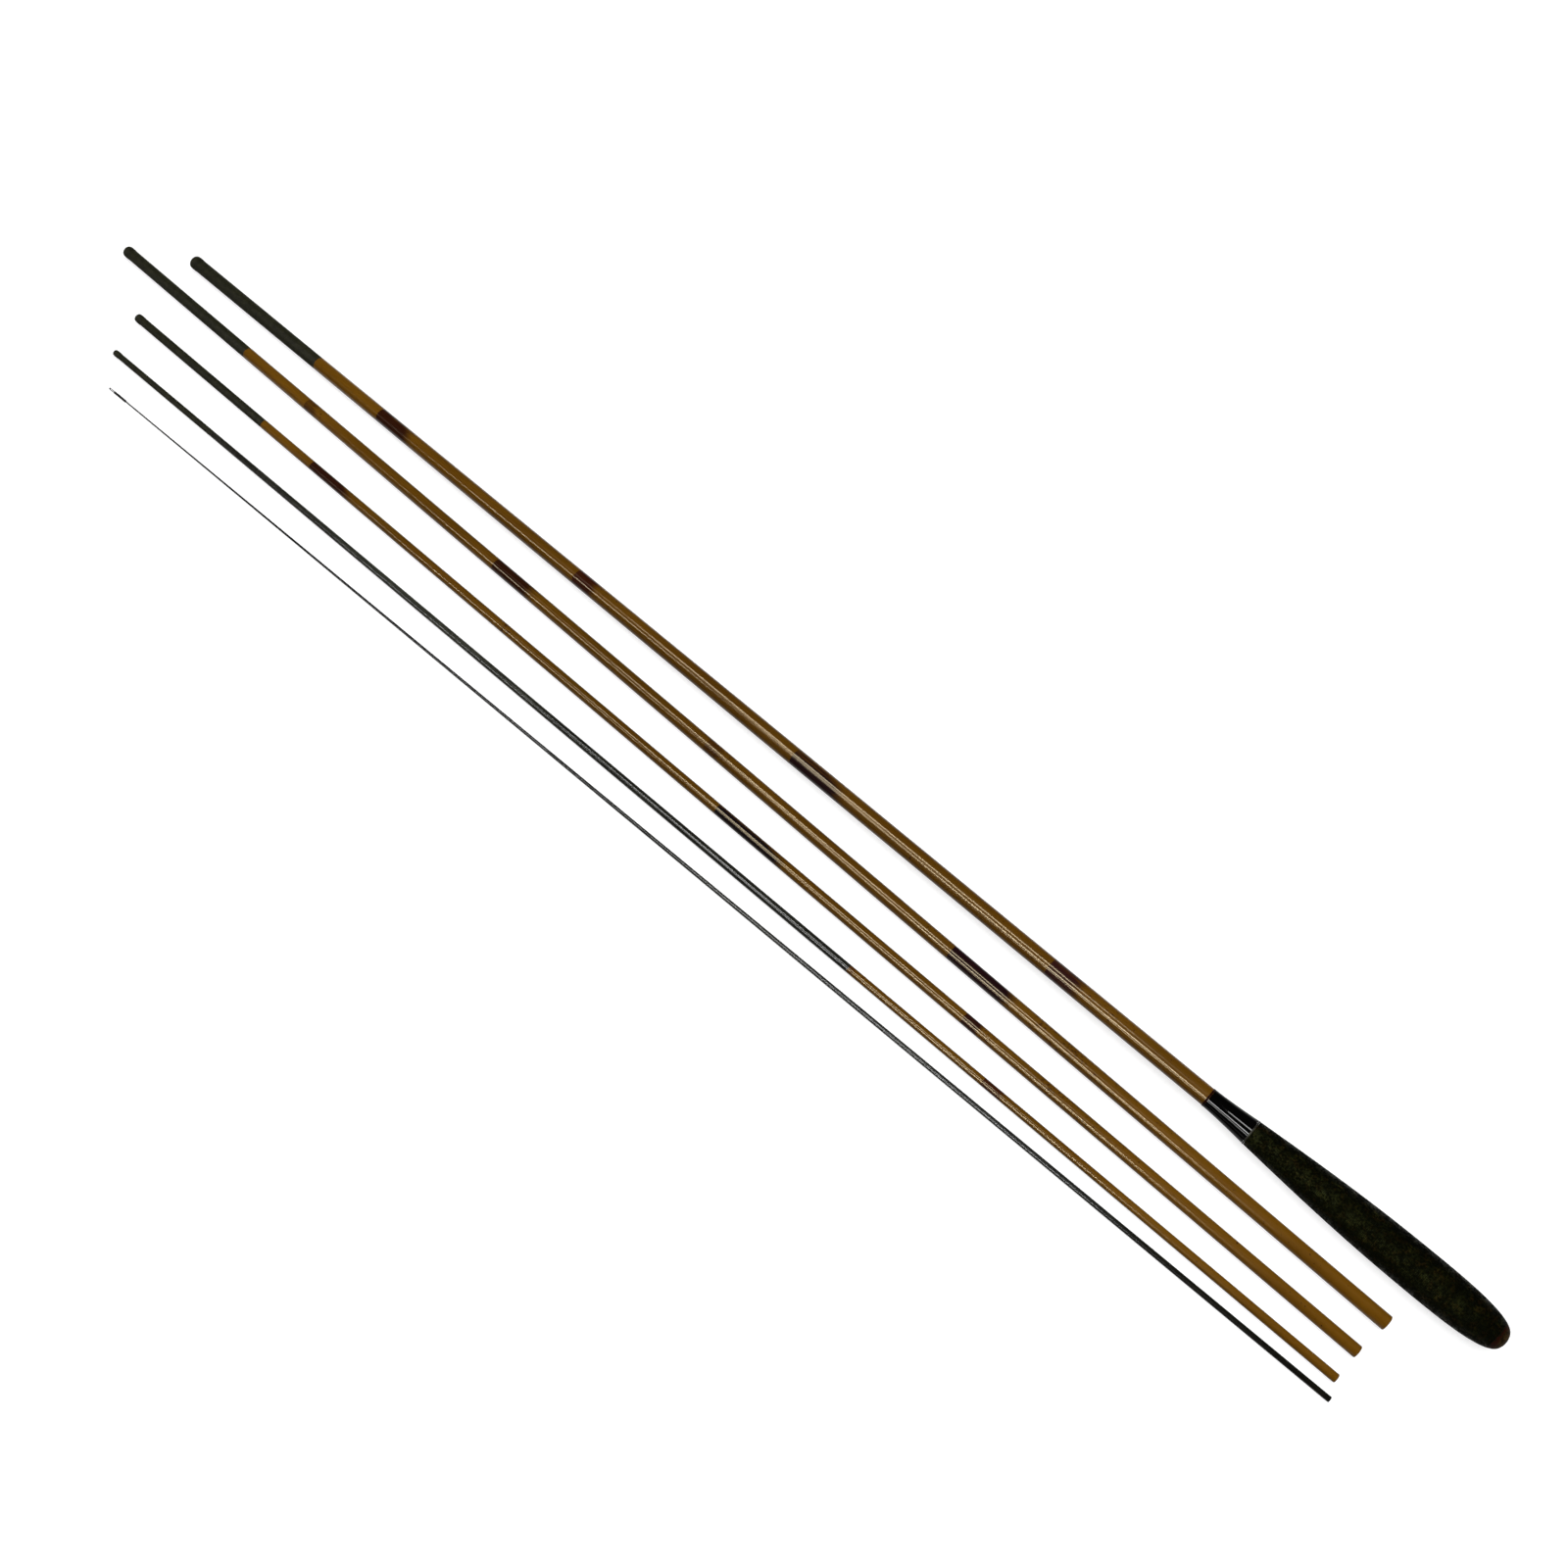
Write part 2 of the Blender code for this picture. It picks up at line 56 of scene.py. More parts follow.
# Floor: a plain white surface that runs out of sight, with a soft shadow under the pole. It glows
# for the camera and in reflections alone, so it is white without more light on the lacquer.
def add_node(tree, kind, inputs=None, **settings):
    """A shader node with its settings. Inputs are values or other nodes' outputs."""
    made = tree.nodes.new(kind)
    for name, value in settings.items():
        setattr(made, name, value)
    for socket, value in (inputs or {}).items():
        if isinstance(value, bpy.types.NodeSocket):
            tree.links.new(value, made.inputs[socket])
        else:
            made.inputs[socket].default_value = value
    return made


def calculate(tree, operation, *values):
    """The result of that Math operation on those values."""
    inputs = dict(enumerate(values))
    return add_node(tree, "ShaderNodeMath", inputs, operation=operation).outputs[0]


FLOOR_SIZE = 60
FLOOR_GREY = (0.4, 0.4, 0.4, 1)
FLOOR_GLOW = 0.72

bpy.ops.object.select_all(action="DESELECT")
bpy.ops.mesh.primitive_plane_add(size=FLOOR_SIZE, location=(0, 0, 0))
floor = bpy.context.object
floor.name = "floor"
paper = bpy.data.materials.new("white_floor")
paper.use_nodes = True
tree = paper.node_tree
tree.nodes.clear()
ray = add_node(tree, "ShaderNodeLightPath").outputs
seen = calculate(tree, "MAXIMUM", ray["Is Camera Ray"], ray["Is Glossy Ray"])
seen = calculate(tree, "MAXIMUM", seen, ray["Is Transmission Ray"])
lift = calculate(tree, "MULTIPLY", seen, FLOOR_GLOW)
matt = add_node(tree, "ShaderNodeBsdfDiffuse", {"Color": FLOOR_GREY})
glow = add_node(tree, "ShaderNodeEmission", {"Color": (1, 1, 1, 1), "Strength": lift})
both = add_node(tree, "ShaderNodeAddShader", {0: matt.outputs[0], 1: glow.outputs[0]})
add_node(tree, "ShaderNodeOutputMaterial", {"Surface": both.outputs[0]})
floor.data.materials.append(paper)

# Light: two wide soft boxes and a dim room for the colours, and five narrow tubes overhead that
# draw the fine bright lines along the lacquer. Only reflections see the tubes.
ROOM_LIGHT = 0.06
BOX_SIZE = 2.6
TUBE_HEIGHT = 2.0
TUBE_WIDTH = 0.30

room = bpy.data.worlds.new("room")
room.use_nodes = True
bpy.context.scene.world = room
room.node_tree.nodes["Background"].inputs["Color"].default_value = (1, 1, 1, 1)
room.node_tree.nodes["Background"].inputs["Strength"].default_value = ROOM_LIGHT


def aim(lamp, along):
    """Face a lamp to the middle of the pole, its length kept along that direction."""
    side = Vector(along).normalized()
    back = (lamp.location - side * lamp.location.dot(side)).normalized()
    lamp.rotation_euler = Matrix((side, back.cross(side), back)).transposed().to_euler()


for name, place, power in (
    ("soft_box", (-0.9, -0.4, 2.8), 78),
    ("soft_fill", (0.0, 0.9, 3.0), 54),
):
    bpy.ops.object.light_add(type="AREA", location=place)
    box = bpy.context.object
    box.name = name
    box.data.shape = "SQUARE"
    box.data.size = BOX_SIZE
    box.data.energy = power
    box.visible_glossy = False
    aim(box, (1, 0, 0))

for name, start, end, power in (
    ("tube_over_pole", (-0.12, 0.17), (1.15, 0.17), 118),
    ("tube_across", (0.73, 0.55), (0.62, 2.10), 70),
    ("tube_near", (-0.40, 1.90), (0.50, 1.90), 147),
    ("tube_far", (1.40, 2.10), (2.60, 2.10), 108),
    ("tube_beyond", (-0.40, 3.80), (0.50, 3.80), 100),
):
    start = Vector((*start, TUBE_HEIGHT))
    end = Vector((*end, TUBE_HEIGHT))
    bpy.ops.object.light_add(type="AREA", location=(start + end) / 2)
    tube = bpy.context.object
    tube.name = name
    aim(tube, (end - start).normalized())
    tube.data.shape = "RECTANGLE"
    tube.data.size = (end - start).length
    tube.data.size_y = TUBE_WIDTH
    tube.data.energy = power
    tube.visible_diffuse = False


# Butt blank: the thick carbon tube of the lowest section, lacquered amber, with bamboo joints
# painted on it. It runs from the end cap, under the grip and the collar, to the first mouth, where
# it narrows to take the winding.
def lie_of(node, start):
    """How a section lies: the middle of its butt end, and its turn, from one of its CAD tubes that
    starts that far from the butt end."""
    corners = [vertex.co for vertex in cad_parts[node].data.vertices]
    same_ring = 0.0001
    along = Vector((1, 0, 0))
    # Each round finds the rings at both ends along the last axis, and draws a truer axis
    # through their middles.
    for _ in range(3):
        steps = [corner.dot(along) for corner in corners]
        middles = []
        for edge in (min(steps), max(steps)):
            ring = [corner for corner, step in zip(corners, steps) if abs(step - edge) < same_ring]
            low = [min(corner[axis] for corner in ring) for axis in range(3)]
            high = [max(corner[axis] for corner in ring) for axis in range(3)]
            middles.append((Vector(low) + Vector(high)) / 2)
        along = (middles[1] - middles[0]).normalized()
    turn = (0, -math.asin(along.z), math.atan2(along.y, along.x))
    return middles[0] - along * start, turn


SMOOTH_BELOW = math.radians(35)


def draw_out(name, stations, sides, solid=False):
    """A round piece on the X axis: one ring, extruded and resized from station to station. Each
    station is (distance along, radius). A tube's last ring is bridged to its first."""
    along, radius = stations[0]
    bpy.ops.object.select_all(action="DESELECT")
    bpy.ops.mesh.primitive_circle_add(
        vertices=sides,
        radius=radius,
        location=(along, 0, 0),
        rotation=(0, math.radians(90), 0),
    )
    piece = bpy.context.object
    piece.name = name
    piece.data.name = name
    bpy.ops.object.transform_apply(location=True, rotation=True, scale=True)
    bpy.ops.object.mode_set(mode="EDIT")
    bpy.ops.mesh.select_all(action="SELECT")
    for next_along, next_radius in stations[1:]:
        bpy.ops.mesh.extrude_region_move(
            TRANSFORM_OT_translate={"value": (next_along - along, 0, 0)}
        )
        grow = next_radius / radius
        bpy.ops.transform.resize(value=(1, grow, grow), center_override=(next_along, 0, 0))
        along, radius = next_along, next_radius
    bpy.ops.mesh.select_all(action="DESELECT")
    bpy.ops.mesh.select_non_manifold()
    if solid:
        bpy.ops.mesh.fill_holes(sides=0)
    else:
        bpy.ops.mesh.bridge_edge_loops()
    bpy.ops.mesh.select_all(action="SELECT")
    bpy.ops.mesh.normals_make_consistent(inside=False)
    bpy.ops.object.mode_set(mode="OBJECT")
    bpy.ops.object.shade_smooth_by_angle(angle=SMOOTH_BELOW)
    return piece


def lay_down(piece, lie):
    """Move a piece from the X axis to where its section lies, and keep the place in its mesh."""
    piece.location, piece.rotation_euler = lie
    bpy.ops.object.select_all(action="DESELECT")
    piece.select_set(True)
    bpy.context.view_layer.objects.active = piece
    bpy.ops.object.transform_apply(location=True, rotation=True, scale=True)


def new_material(name):
    """A material with its node tree and its shader."""
    material = bpy.data.materials.new(name)
    material.use_nodes = True
    tree = material.node_tree
    return material, tree, tree.nodes["Principled BSDF"]


def section_place(tree, lie, stretch=(1, 1, 1)):
    """Object coordinates turned into a section's own: x is the distance from its butt end."""
    objects = add_node(tree, "ShaderNodeTexCoord").outputs["Object"]
    inputs = {"Vector": objects, "Location": lie[0], "Rotation": lie[1], "Scale": stretch}
    return add_node(tree, "ShaderNodeMapping", inputs, vector_type="TEXTURE").outputs["Vector"]


def split_axes(tree, place):
    """The X, Y and Z of a place, by those names."""
    return add_node(tree, "ShaderNodeSeparateXYZ", {0: place}).outputs


def noise(tree, place, scale, detail):
    """A cloudy pattern from 0 to 1, its clouds about 1 / scale metres across."""
    inputs = {"Vector": place, "Scale": scale, "Detail": detail}
    return add_node(tree, "ShaderNodeTexNoise", inputs).outputs["Fac"]


def remap(tree, value, start, end, low=0, high=1, curve="LINEAR"):
    """A value from start to end turned into one from low to high, and held there past the ends."""
    inputs = {"Value": value, "From Min": start, "From Max": end, "To Min": low, "To Max": high}
    made = add_node(tree, "ShaderNodeMapRange", inputs, interpolation_type=curve)
    return made.outputs[0]


def mix_colours(tree, factor, first, second):
    """The first colour at factor 0 and the second at 1. Each is three numbers or an output."""
    inputs = {"Factor": factor}
    for socket, colour in (("A", first), ("B", second)):
        linked = isinstance(colour, bpy.types.NodeSocket)
        inputs[socket] = colour if linked else (*colour, 1)
    return add_node(tree, "ShaderNodeMix", inputs, data_type="RGBA").outputs["Result"]


def colour_ramp(tree, factor, stops):
    """Colours along the factor. Each stop is a factor and the colour there."""
    ramp = add_node(tree, "ShaderNodeValToRGB", {"Fac": factor})
    elements = ramp.color_ramp.elements
    for element, (position, colour) in zip((elements[0], elements[1]), (stops[0], stops[-1])):
        element.position = position
        element.color = (*colour, 1)
    for position, colour in stops[1:-1]:
        elements.new(position).color = (*colour, 1)
    return ramp.outputs["Color"]


def add_bump(tree, shader, height, strength, depth):
    """Fine relief on the shader, that deep in metres at full strength."""
    inputs = {"Height": height, "Strength": strength, "Distance": depth}
    tree.links.new(add_node(tree, "ShaderNodeBump", inputs).outputs[0], shader.inputs["Normal"])


def amber_lacquer(name, lie, radius, joints):
    """Amber lacquer with painted bamboo joints. Each joint is (edge, reach of the paint towards
    the butt, reach of its speckles, strength on the +Y side and on the -Y side, colour)."""
    material, tree, shader = new_material(name)
    place = section_place(tree, lie)
    streaky = section_place(tree, lie, stretch=(9, 1, 1))
    axes = split_axes(tree, place)
    along = axes["X"]

    cloud = remap(tree, noise(tree, streaky, 110, 3), 0.3, 0.7)
    amber = mix_colours(tree, cloud, (0.098, 0.040, 0.0022), (0.136, 0.058, 0.0036))
    # Darker through the middle of the section and lighter towards both ends.
    depths = ((0.08, 1), (0.22, 0.76), (0.60, 0.70), (0.80, 0.80), (0.92, 1))
    depth = colour_ramp(tree, along, [(distance, (tone,) * 3) for distance, tone in depths])
    deepened = add_node(tree, "ShaderNodeVectorMath", {0: amber, 1: depth}, operation="MULTIPLY")
    colour = deepened.outputs[0]

    fleck = noise(tree, place, 520, 2)
    blot = noise(tree, streaky, 420, 3)
    side = remap(tree, axes["Y"], -0.6 * radius, 0.6 * radius)
    for edge, reach, spread, far, near, paint in joints:
        strength = remap(tree, side, 0, 1, near, far)
        body = remap(tree, along, edge - reach, edge - 0.5 * reach, curve="SMOOTHSTEP")
        cover = calculate(tree, "MULTIPLY", body, strength)
        painted = remap(tree, calculate(tree, "ADD", cover, blot), 0.72, 1.25)
        near_mark = remap(tree, along, edge - spread, edge, 0, 0.17)
        specks = remap(tree, calculate(tree, "ADD", fleck, near_mark), 0.70, 0.76, 0, 0.75)
        marked = calculate(tree, "MAXIMUM", painted, specks)
        before = calculate(tree, "LESS_THAN", along, edge)
        colour = mix_colours(tree, calculate(tree, "MULTIPLY", marked, before), colour, paint)

    tree.links.new(colour, shader.inputs["Base Color"])
    add_bump(tree, shader, noise(tree, streaky, 900, 2), 0.012, 0.00005)
    shader.inputs["Roughness"].default_value = 0.17
    shader.inputs["Specular IOR Level"].default_value = 0.09
    shader.inputs["Specular Tint"].default_value = (1.0, 0.84, 0.55, 1)
    return material


SOCKET_PLAY = 0.00008
GLUE_GAP = 0.00005
STOP_LENGTH = 0.009
SPIGOT_LENGTH = 0.012
SPIGOT_STEP = 0.0003


def neck_under(length, male, fit, sleeve_wall, winding_length):
    """Stations of the neck that a section's mouth is built on, and of the bore that takes the
    spigot of the mouth's sleeve. The sizes are the mouth's own."""
    shoulder = length - winding_length
    end = length - fit - STOP_LENGTH
    neck = male / 2 + SOCKET_PLAY + sleeve_wall
    bore = neck - SPIGOT_STEP + GLUE_GAP
    bore_end = end - SPIGOT_LENGTH - 0.0001
    return [(shoulder, neck), (end, neck), (end, bore), (bore_end, bore)]


BLANK_START = 0.0061
butt_mouth = {
    "length": 1.183,
    "male": 0.0092,
    "fit": 0.080,
    "sleeve_wall": 0.00032,
    "winding_length": 0.158,
}
butt_lie = lie_of("butt_blank", BLANK_START)
butt_blank = draw_out(
    "butt_blank_lacquered",
    [
        (BLANK_START, 0.00595),
        (0.55, 0.00595),
        (1.0244, 0.00532),
        (1.0248, 0.00529),
        (1.025, 0.0052),
        *neck_under(**butt_mouth),
        (0.165, 0.00505),
        (BLANK_START, 0.00505),
    ],
    sides=64,
)
lay_down(butt_blank, butt_lie)
dark_plum = (0.010, 0.0025, 0.0035)
butt_joints = [
    (0.313, 0.030, 0.10, 0.75, 0.75, (0.024, 0.006, 0.005)),
    (0.5255, 0.055, 0.04, 1.0, 0.35, dark_plum),
    (0.735, 0.025, 0.07, 0.95, 0.75, (0.030, 0.006, 0.002)),
    (0.950, 0.045, 0.06, 1.0, 0.75, (0.024, 0.0055, 0.0018)),
]
butt_blank.data.materials.append(amber_lacquer("amber_butt", butt_lie, 0.006, butt_joints))
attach(butt_blank, "butt_section")
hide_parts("butt_blank")


# Grip core: the light wooden body of the grip, turned to its shape and pressed over the blank. The
# skin is drawn over it, so it stays out of sight.
def bare_wood(name, lie):
    """Pale wood, its grain along the section."""
    material, tree, shader = new_material(name)
    grain = noise(tree, section_place(tree, lie, stretch=(8, 1, 1)), 400, 4)
    colour = mix_colours(tree, grain, (0.28, 0.23, 0.16), (0.42, 0.36, 0.27))
    tree.links.new(colour, shader.inputs["Base Color"])
    shader.inputs["Roughness"].default_value = 0.85
    return material


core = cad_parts["grip_core"]
core.data.materials.clear()
core.data.materials.append(bare_wood("core_wood", butt_lie))


# Grip cover: a dark olive woven skin drawn over the core and lacquered, with flecks of brown and
# blue black. It swells to 26 mm behind the middle and thins towards the collar.
GRIP_LENGTH = 0.165
GRIP_FULL_AT = 0.060
GRIP_FULL_RADIUS = 0.01312
GRIP_FRONT_RADIUS = 0.00815
GRIP_BLUNTNESS = 3.3
SKIN_THICKNESS = 0.001


def grip_radius(along):
    """Outer radius of the grip at a distance from the butt end."""
    if along < GRIP_FULL_AT:
        share = (GRIP_FULL_AT - along) / GRIP_FULL_AT
        return GRIP_FULL_RADIUS * (1 - share**GRIP_BLUNTNESS) ** (1 / GRIP_BLUNTNESS)
    share = (along - GRIP_FULL_AT) / (GRIP_LENGTH - GRIP_FULL_AT)
    fall = 1 - math.cos(share * math.pi / 2)
    return GRIP_FULL_RADIUS - (GRIP_FULL_RADIUS - GRIP_FRONT_RADIUS) * fall


cover_steps = 60
closer_to_butt = 1.4
cover_outer = []
for step in range(cover_steps + 1):
    along = BLANK_START + (GRIP_LENGTH - BLANK_START) * (step / cover_steps) ** closer_to_butt
    cover_outer.append((along, grip_radius(along)))
cover_inner = [(along, radius - SKIN_THICKNESS) for along, radius in cover_outer[::-6]]
grip_cover = draw_out("grip_skin", cover_outer + cover_inner, sides=96)
lay_down(grip_cover, butt_lie)


def scale_colour(tree, colour, lightness):
    """A colour made lighter or darker by that factor."""
    inputs = {0: colour, "Scale": lightness}
    return add_node(tree, "ShaderNodeVectorMath", inputs, operation="SCALE").outputs[0]


def woven_skin(name, lie):
    """Mottled olive cloth: two sets of fine threads wound crosswise, with patches of colour. It
    shines more where the patches are lighter and the grit stands proud."""
    material, tree, shader = new_material(name)
    place = section_place(tree, lie)
    axes = split_axes(tree, place)
    threads_around = 44
    thread_rate = 3400
    angle = calculate(tree, "ARCTAN2", axes["Z"], axes["Y"])
    phase = calculate(tree, "MULTIPLY", axes["X"], thread_rate)
    right = calculate(tree, "MULTIPLY_ADD", angle, threads_around, phase)
    left = calculate(tree, "MULTIPLY_ADD", angle, -threads_around, phase)
    weave = calculate(
        tree, "MULTIPLY", calculate(tree, "SINE", right), calculate(tree, "SINE", left)
    )

    patch = noise(tree, place, 210, 5)
    tint = noise(tree, place, 300, 4)
    grit = noise(tree, place, 800, 2)
    ground = colour_ramp(
        tree,
        patch,
        [
            (0.38, (0.0004, 0.0005, 0.0002)),
            (0.50, (0.0012, 0.0014, 0.0003)),
            (0.66, (0.0052, 0.0058, 0.0012)),
        ],
    )
    flecks = colour_ramp(
        tree,
        tint,
        [
            (0.40, (0.0003, 0.0004, 0.0009)),
            (0.50, (0.0012, 0.0013, 0.0004)),
            (0.64, (0.0062, 0.0026, 0.0007)),
        ],
    )
    drift = remap(tree, noise(tree, place, 75, 2), 0.35, 0.65, 0.55, 1.3)
    woven = calculate(tree, "MULTIPLY", remap(tree, weave, -1, 1, 0.65, 1.35), drift)
    lightness = calculate(tree, "MULTIPLY", woven, remap(tree, grit, 0.40, 0.62, 0.1, 2.6))
    colour = scale_colour(tree, mix_colours(tree, 0.4, ground, flecks), lightness)
    tree.links.new(colour, shader.inputs["Base Color"])
    add_bump(tree, shader, calculate(tree, "MULTIPLY_ADD", grit, 1.2, weave), 0.5, 0.00012)
    bare = calculate(tree, "MULTIPLY_ADD", grit, 1.4, patch)
    tree.links.new(remap(tree, bare, 1.09, 1.31, 0.82, 0.30), shader.inputs["Roughness"])
    shader.inputs["Specular IOR Level"].default_value = 0.012
    shader.inputs["Specular Tint"].default_value = (0.9, 1.0, 0.35, 1)
    return material


grip_cover.data.materials.append(woven_skin("grip_cloth_skin", butt_lie))
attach(grip_cover, "butt_section")
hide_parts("grip_cover")


# End cap: a turned plug that closes the butt, glued into the blank's bore. It is lacquered reddish
# brown, and the colour runs out into the dark of the skin in a thin redder rim.
cap_edge = 0.0060
cap_flat_radius = 0.0030
cap_flat_share = (cap_flat_radius / GRIP_FULL_RADIUS) ** GRIP_BLUNTNESS
cap_flat_at = GRIP_FULL_AT * (1 - (1 - cap_flat_share) ** (1 / GRIP_BLUNTNESS))
plug_radius = 0.0050
cap_stations = [(0.0, 0.0005), (0.0, cap_flat_radius)]
cap_steps = 22
for step in range(1, cap_steps + 1):
    along = cap_flat_at + (cap_edge - cap_flat_at) * (step / cap_steps) ** 2
    cap_stations.append((along, grip_radius(along)))
cap_stations += [(cap_edge, plug_radius), (0.01785, plug_radius), (0.0180, 0.00485)]
butt_cap = draw_out("butt_cap_lacquered", cap_stations, sides=96, solid=True)
lay_down(butt_cap, butt_lie)


def cap_lacquer(name, lie):
    """Reddish brown lacquer with the rings of the lathe under it. Its rim is redder, and past that
    it is as dark as the skin."""
    material, tree, shader = new_material(name)
    place = section_place(tree, lie)
    along = split_axes(tree, place)["X"]
    cloud = noise(tree, place, 420, 5)
    colour = colour_ramp(
        tree, cloud, [(0.40, (0.007, 0.0040, 0.0012)), (0.62, (0.036, 0.0205, 0.0058))]
    )
    ragged = calculate(tree, "MULTIPLY_ADD", cloud, 0.010, along)
    for start, end, tone in (
        (0.0086, 0.0094, (0.015, 0.0030, 0.0012)),
        (0.0100, 0.0110, (0.005, 0.0036, 0.0012)),
    ):
        colour = mix_colours(tree, remap(tree, ragged, start, end), colour, tone)
    tree.links.new(colour, shader.inputs["Base Color"])
    ring_rate = 4200
    rings = calculate(tree, "SINE", calculate(tree, "MULTIPLY", along, ring_rate))
    add_bump(tree, shader, rings, 0.15, 0.00005)
    shader.inputs["Roughness"].default_value = 0.5
    shader.inputs["Specular IOR Level"].default_value = 0.012
    return material


butt_cap.data.materials.append(cap_lacquer("cap_brown_lacquer", butt_lie))
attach(butt_cap, "butt_section")
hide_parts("butt_cap")


# Grip ring: a thin hoop of satin metal, slipped over the blank and glued where it covers the front
# edge of the skin.
over_blank = 0.006
ring_radius = GRIP_FRONT_RADIUS + 0.00012
grip_ring = draw_out(
    "grip_ring_metal",
    [
        (0.1651, ring_radius - 0.0001),
        (0.16522, ring_radius - 0.00002),
        (0.1653, ring_radius),
        (0.1658, ring_radius),
        (0.16588, ring_radius - 0.00002),
        (0.166, ring_radius - 0.0001),
        (0.166, over_blank),
        (0.1651, over_blank),
    ],
    sides=96,
)
lay_down(grip_ring, butt_lie)


def satin_metal(name, lie):
    """Dull metal with uneven wear."""
    material, tree, shader = new_material(name)
    wear = noise(tree, section_place(tree, lie), 700, 3)
    colour = mix_colours(tree, wear, (0.009, 0.0088, 0.006), (0.024, 0.023, 0.016))
    tree.links.new(colour, shader.inputs["Base Color"])
    tree.links.new(remap(tree, wear, 0, 1, 0.4, 0.6), shader.inputs["Roughness"])
    shader.inputs["Metallic"].default_value = 0.2
    shader.inputs["Specular IOR Level"].default_value = 0.06
    return material


grip_ring.data.materials.append(satin_metal("ring_metal", butt_lie))
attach(grip_ring, "butt_section")
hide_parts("grip_ring")


# Collar: thread wound to a flare in front of the grip and built up with deep black lacquer until
# it is smooth as glass.
collar_start = 0.1661
collar_length = 0.0285
collar_thin_radius = 0.00615
collar_steps = 24
collar_hollow = 1.5
collar_stations = []
for step in range(collar_steps + 1):
    share = step / collar_steps
    flare = (GRIP_FRONT_RADIUS - collar_thin_radius) * (1 - share) ** collar_hollow
    collar_stations.append((collar_start + collar_length * share, collar_thin_radius + flare))
collar_stations += [(collar_start + collar_length, over_blank), (collar_start, over_blank)]
collar = draw_out("collar_black_lacquer", collar_stations, sides=96)
lay_down(collar, butt_lie)


def black_lacquer(name, lie):
    """Deep black lacquer, rubbed to a mirror, with a trace of cloud in it."""
    material, tree, shader = new_material(name)
    film = noise(tree, section_place(tree, lie), 350, 2)
    colour = mix_colours(tree, film, (0.0006, 0.0006, 0.0006), (0.0014, 0.0013, 0.0012))
    tree.links.new(colour, shader.inputs["Base Color"])
    add_bump(tree, shader, film, 0.02, 0.0001)
    shader.inputs["Roughness"].default_value = 0.04
    shader.inputs["Specular IOR Level"].default_value = 0.04
    return material


collar.data.materials.append(black_lacquer("collar_lacquer", butt_lie))
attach(collar, "butt_section")
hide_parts("grip_collar")


# Collar band: a few turns of dark red thread, wound on the blank and lacquered, that close the
# thin edge of the collar.
def thread_turns(start, end, radius, rise, turns):
    """Stations over thread wound side by side, each turn a low round ridge."""
    stations = []
    pitch = (end - start) / turns
    for turn in range(turns):
        for share, height in ((0.06, 0.0), (0.28, 0.8), (0.5, 1.0), (0.72, 0.8)):
            stations.append((start + pitch * (turn + share), radius + rise * height))
    stations.append((end - 0.06 * pitch, radius))
    return stations


band_start = 0.1947
band_turns = thread_turns(band_start, band_start + 0.0012, 0.00616, 0.00004, 6)
band_inside = [(band_start + 0.0011, over_blank), (band_start + 0.0001, over_blank)]
collar_band = draw_out("collar_band_thread", band_turns + band_inside, sides=96)
lay_down(collar_band, butt_lie)


def lacquered_thread(name, lie, deep, light, pitch, roughness):
    """Fine thread under a thin coat of lacquer. Its turns are a fine ripple along the section."""
    material, tree, shader = new_material(name)
    place = section_place(tree, lie)
    phase = calculate(tree, "MULTIPLY", split_axes(tree, place)["X"], math.tau / pitch)
    turns = calculate(tree, "SINE", phase)
    fuzz = noise(tree, place, 1700, 2)
    cloud = calculate(tree, "MULTIPLY", noise(tree, place, 240, 4), fuzz)
    colour = mix_colours(tree, remap(tree, cloud, 0.12, 0.4), deep, light)
    tree.links.new(colour, shader.inputs["Base Color"])
    add_bump(tree, shader, calculate(tree, "MULTIPLY_ADD", fuzz, 0.8, turns), 0.35, 0.00004)
    shader.inputs["Roughness"].default_value = roughness
    shader.inputs["Specular IOR Level"].default_value = 0.02
    return material


red_thread = lacquered_thread(
    "band_red_thread",
    butt_lie,
    deep=(0.006, 0.0008, 0.0006),
    light=(0.016, 0.0016, 0.0012),
    pitch=0.0002,
    roughness=0.3,
)
collar_band.data.materials.append(red_thread)
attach(collar_band, "butt_section")
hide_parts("collar_band")


# Mouths: at the tip end of four sections a carbon sleeve takes the male end of the next one. Fine
# thread is wound over it and lacquered matt, with a thicker bead of turns at the rim.
THREAD_BUILD = 0.00015
BEAD_LENGTH = 0.006
BEAD_SWELL = 0.0002


def bare_carbon(name, lie):
    """Carbon fibre without lacquer, its fibres along the section."""
    material, tree, shader = new_material(name)
    fibre = noise(tree, section_place(tree, lie, stretch=(5, 1, 1)), 1400, 3)
    colour = mix_colours(tree, fibre, (0.006, 0.006, 0.006), (0.022, 0.022, 0.022))
    tree.links.new(colour, shader.inputs["Base Color"])
    add_bump(tree, shader, fibre, 0.2, 0.00005)
    shader.inputs["Roughness"].default_value = 0.35
    return material


